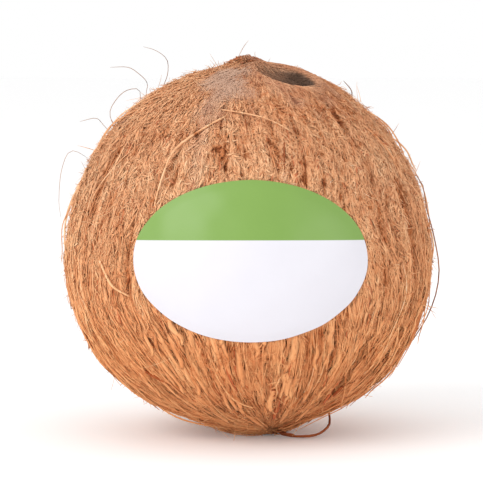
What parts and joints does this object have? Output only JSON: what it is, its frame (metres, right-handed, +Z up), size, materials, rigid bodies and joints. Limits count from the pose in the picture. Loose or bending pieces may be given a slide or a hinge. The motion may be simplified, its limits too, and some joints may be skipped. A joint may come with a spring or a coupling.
{
  "type": "coconut",
  "caption": "Husked coconut, a round fruit of brown fibre bundles and loose strands with a bald spot at its crown and an oval label, resting on a small flat spot.",
  "frame": {"origin": "middle of the small flat spot under the fruit, where it rests", "axes": "+Z up, from the tuft to the crown; the label faces -Y; +X is to the right of the label seen from the front"},
  "size_m": [0.1187, 0.115, 0.1198],
  "materials": {
    "husk": "matted dry brown husk fibre, matt, with lighter and darker strands",
    "label": "smooth printed film sticker, a green field over a white one, slight gloss"
  },
  "bodies": {
    "root": {"coconut": "husk", "label": "label"}
  },
  "joints": []
}
